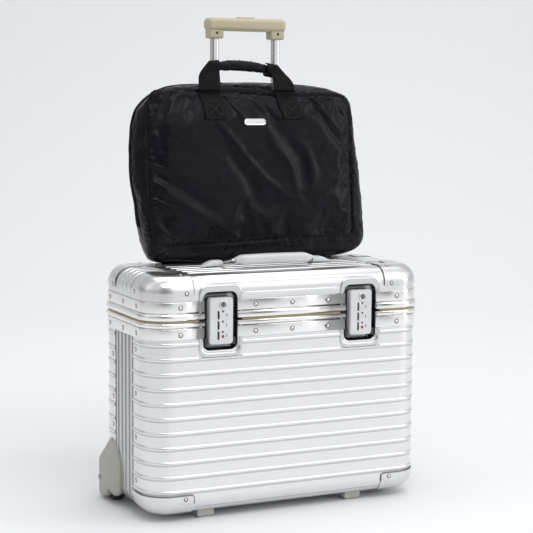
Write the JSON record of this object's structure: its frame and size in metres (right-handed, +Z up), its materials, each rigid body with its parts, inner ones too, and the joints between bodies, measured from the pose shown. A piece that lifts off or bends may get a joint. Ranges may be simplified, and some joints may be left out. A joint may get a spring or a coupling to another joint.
{
  "type": "wheeled flight case with soft bag",
  "caption": "Ribbed aluminium pilot's case on two wheels, with locking latches and a telescopic handle, and a soft nylon bag standing on its lid.",
  "frame": {"origin": "on the floor, under the middle of the box round the whole set", "axes": "+Z up, +X along the case's long side, latches face -Y"},
  "size_m": [0.4924, 0.2574, 0.7706],
  "materials": {
    "aluminium_sheet": "satin",
    "aluminium_frame": "satin",
    "frame_seal": "matte",
    "rivet_steel": "satin",
    "cap_aluminium": "satin",
    "foot_plastic": "matte",
    "dish_aluminium": "satin",
    "hinge_steel": "satin",
    "lining_fabric": "matte",
    "housing_plastic": "satin",
    "tyre_rubber": "matte",
    "hub_plastic": "satin",
    "tube_aluminium": "satin",
    "clamp_plastic": "satin",
    "grip_plastic": "satin",
    "button_plastic": "satin",
    "handle_plastic": "satin",
    "bail_steel": "satin",
    "latch_metal": "satin",
    "dial_plastic": "satin",
    "key_metal": "polished",
    "bag_nylon": "satin",
    "bag_webbing": "matte",
    "zip_tape": "matte",
    "zip_metal": "satin",
    "badge_metal": "satin"
  },
  "bodies": {
    "root": {"body_front_sheet": "aluminium_sheet", "body_back_sheet": "aluminium_sheet", "body_center_sheet": "aluminium_sheet", "frame_lower": "aluminium_frame", "frame_seal": "frame_seal", "body_rivets": "rivet_steel", "base_corner_caps": "cap_aluminium", "front_feet": "foot_plastic", "latch_dishes_lower": "dish_aluminium", "latch_pivots": "hinge_steel", "hinge_body_leaves": "hinge_steel", "hinge_pins": "hinge_steel", "body_lining": "lining_fabric", "wheel_housings": "housing_plastic", "wheel_axles": "hinge_steel", "housing_screws": "hinge_steel", "trolley_guide_tubes": "tube_aluminium", "trolley_clamps": "clamp_plastic"},
    "lid": {"frame_upper": "aluminium_frame", "lid_rivets": "rivet_steel", "lid_corner_caps": "cap_aluminium", "latch_dishes_upper": "dish_aluminium", "latch_keepers": "hinge_steel", "hinge_lid_leaves": "hinge_steel", "lid_lining": "lining_fabric", "lid_shell": "aluminium_sheet", "carry_handle_brackets": "dish_aluminium"},
    "carry_handle": {"carry_handle_bail": "bail_steel", "carry_handle_grip": "handle_plastic"},
    "latch_left": {"latch_left_body": "latch_metal", "latch_left_dial_shafts": "hinge_steel"},
    "dial_left_1": {"latch_left_dial_1": "dial_plastic"},
    "dial_left_2": {"latch_left_dial_2": "dial_plastic"},
    "dial_left_3": {"latch_left_dial_3": "dial_plastic"},
    "key_left": {"latch_left_key_cylinder": "key_metal"},
    "wheel_left": {"wheel_left_tyre": "tyre_rubber", "wheel_left_hub": "hub_plastic"},
    "latch_right": {"latch_right_body": "latch_metal", "latch_right_dial_shafts": "hinge_steel"},
    "dial_right_1": {"latch_right_dial_1": "dial_plastic"},
    "dial_right_2": {"latch_right_dial_2": "dial_plastic"},
    "dial_right_3": {"latch_right_dial_3": "dial_plastic"},
    "key_right": {"latch_right_key_cylinder": "key_metal"},
    "wheel_right": {"wheel_right_tyre": "tyre_rubber", "wheel_right_hub": "hub_plastic"},
    "trolley_middle": {"trolley_middle_tubes": "tube_aluminium"},
    "trolley_top": {"trolley_inner_tubes": "tube_aluminium", "trolley_grip": "grip_plastic", "trolley_grip_rivets": "hinge_steel"},
    "grip_button": {"trolley_grip_button": "button_plastic"},
    "bag_sleeve": {"bag_sleeve": "bag_webbing"},
    "bag": {"bag_shell": "bag_nylon", "bag_front_panel": "bag_nylon", "bag_badge": "badge_metal", "bag_zip": "zip_tape", "bag_strap_patches": "bag_webbing"},
    "bag_handle": {"bag_handle": "bag_webbing"},
    "zip_left": {"zip_slider_left": "zip_metal"},
    "zip_right": {"zip_slider_right": "zip_metal"}
  },
  "joints": [
    {"name": "lid_hinge", "type": "hinge", "parent": "root", "child": "lid", "pos_m": [0, 0.09417, 0.308], "axis": [-1, 0, 0], "range_deg": [0, 16]},
    {"name": "carry_handle_fold", "type": "hinge", "parent": "lid", "child": "carry_handle", "pos_m": [0, -0.03132, 0.383], "axis": [-1, 0, 0], "range_deg": [0, 85]},
    {"name": "latch_left_swing", "type": "hinge", "parent": "root", "child": "latch_left", "pos_m": [-0.1195, -0.11933, 0.275], "axis": [1, 0, 0], "range_deg": [0, 80]},
    {"name": "dial_left_1_turn", "type": "hinge", "parent": "latch_left", "child": "dial_left_1", "pos_m": [-0.1195, -0.12093, 0.3155], "axis": [1, 0, 0], "continuous": true},
    {"name": "dial_left_2_turn", "type": "hinge", "parent": "latch_left", "child": "dial_left_2", "pos_m": [-0.1195, -0.12093, 0.3], "axis": [1, 0, 0], "continuous": true},
    {"name": "dial_left_3_turn", "type": "hinge", "parent": "latch_left", "child": "dial_left_3", "pos_m": [-0.1195, -0.12093, 0.2845], "axis": [1, 0, 0], "continuous": true},
    {"name": "key_left_turn", "type": "hinge", "parent": "latch_left", "child": "key_left", "pos_m": [-0.1165, -0.11933, 0.3315], "axis": [0, -1, 0], "range_deg": [0, 90]},
    {"name": "wheel_left_spin", "type": "hinge", "parent": "root", "child": "wheel_left", "pos_m": [-0.223, 0.05267, 0.028], "axis": [1, 0, 0], "continuous": true},
    {"name": "latch_right_swing", "type": "hinge", "parent": "root", "child": "latch_right", "pos_m": [0.1195, -0.11933, 0.275], "axis": [1, 0, 0], "range_deg": [0, 80]},
    {"name": "dial_right_1_turn", "type": "hinge", "parent": "latch_right", "child": "dial_right_1", "pos_m": [0.1195, -0.12093, 0.3155], "axis": [1, 0, 0], "continuous": true},
    {"name": "dial_right_2_turn", "type": "hinge", "parent": "latch_right", "child": "dial_right_2", "pos_m": [0.1195, -0.12093, 0.3], "axis": [1, 0, 0], "continuous": true},
    {"name": "dial_right_3_turn", "type": "hinge", "parent": "latch_right", "child": "dial_right_3", "pos_m": [0.1195, -0.12093, 0.2845], "axis": [1, 0, 0], "continuous": true},
    {"name": "key_right_turn", "type": "hinge", "parent": "latch_right", "child": "key_right", "pos_m": [0.1225, -0.11933, 0.3315], "axis": [0, -1, 0], "range_deg": [0, 90]},
    {"name": "wheel_right_spin", "type": "hinge", "parent": "root", "child": "wheel_right", "pos_m": [0.223, 0.05267, 0.028], "axis": [1, 0, 0], "continuous": true},
    {"name": "trolley_lower_slide", "type": "slide", "parent": "root", "child": "trolley_middle", "axis": [0, 0, 1], "range_m": [-0.2295, 0]},
    {"name": "trolley_upper_slide", "type": "slide", "parent": "trolley_middle", "child": "trolley_top", "axis": [0, 0, 1], "range_m": [-0.2295, 0]},
    {"name": "grip_button_press", "type": "slide", "parent": "trolley_top", "child": "grip_button", "axis": [0, 0, -1], "range_m": [0, 0.003], "stiffness_N_per_m": 600, "springref_m": -0.001},
    {"name": "bag_lift_off", "type": "slide", "parent": "root", "child": "bag_sleeve", "axis": [0, 0, 1], "range_m": [0, 0.4]},
    {"name": "bag_rise", "type": "slide", "parent": "bag_sleeve", "child": "bag", "axis": [0, 0, 1], "range_m": [0, 0.05]},
    {"name": "bag_handle_fold", "type": "hinge", "parent": "bag", "child": "bag_handle", "pos_m": [0, 0.03667, 0.658], "axis": [1, 0, 0], "range_deg": [0, 60]},
    {"name": "zip_left_slide", "type": "slide", "parent": "bag", "child": "zip_left", "axis": [1, 0, 0], "range_m": [-0.06, 0]},
    {"name": "zip_right_slide", "type": "slide", "parent": "bag", "child": "zip_right", "axis": [1, 0, 0], "range_m": [0, 0.16]}
  ],
  "couplings": [
    {"joint": "bag_rise", "follows": "lid_hinge", "m_per_rad": 0.165}
  ]
}
